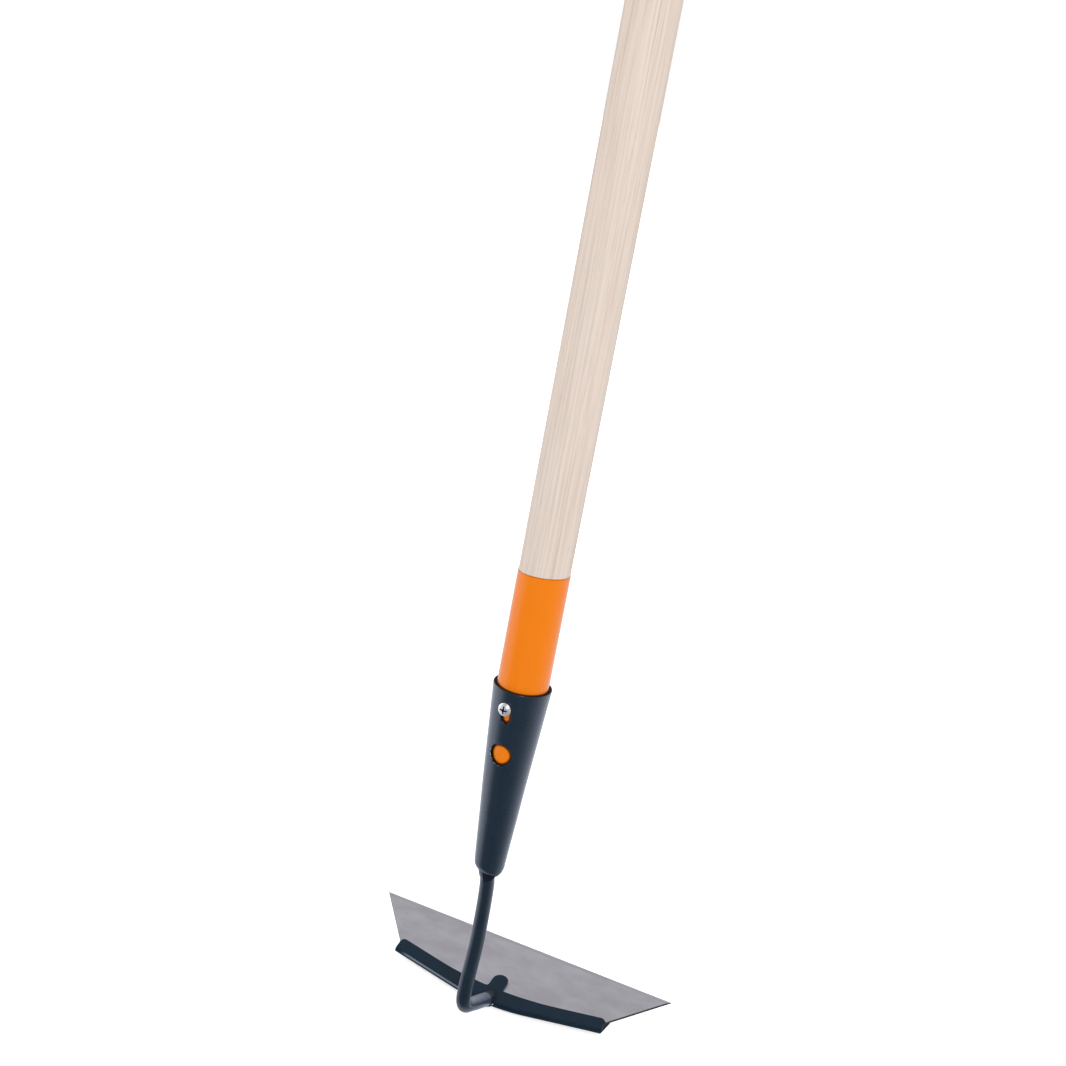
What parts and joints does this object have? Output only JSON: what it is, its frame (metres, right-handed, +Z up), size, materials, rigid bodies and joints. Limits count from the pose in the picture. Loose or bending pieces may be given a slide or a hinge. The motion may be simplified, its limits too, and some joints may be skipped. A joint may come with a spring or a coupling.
{
  "type": "beet hoe",
  "caption": "Long handled draw hoe: a wide flat trapezoid blade gripped in a folded rail, welded to a bent round neck and screwed to a wooden handle through a tapered socket.",
  "frame": {"origin": "middle of the small flat at the top end of the handle", "axes": "+Z up along the handle, away from the blade; +Y towards the person who pulls the hoe, which is the side that the blade's cutting edge faces; +X to the right"},
  "size_m": [0.1974, 0.1162, 1.537],
  "materials": {
    "ash_wood": "pale ash, sanded and bare, with a glossy orange dip coat on the lower end",
    "powder_coat": "satin dark blue-grey powder coat",
    "blade_steel": "bright cold rolled steel, ground along the cutting edge",
    "zinc": "bright zinc plate"
  },
  "bodies": {
    "root": {"handle": "ash_wood", "socket": "powder_coat", "fixing_screw": "zinc", "neck_rod": "powder_coat", "socket_weld": "powder_coat", "back_rail": "powder_coat", "rail_weld": "powder_coat", "blade": "blade_steel"}
  },
  "joints": []
}
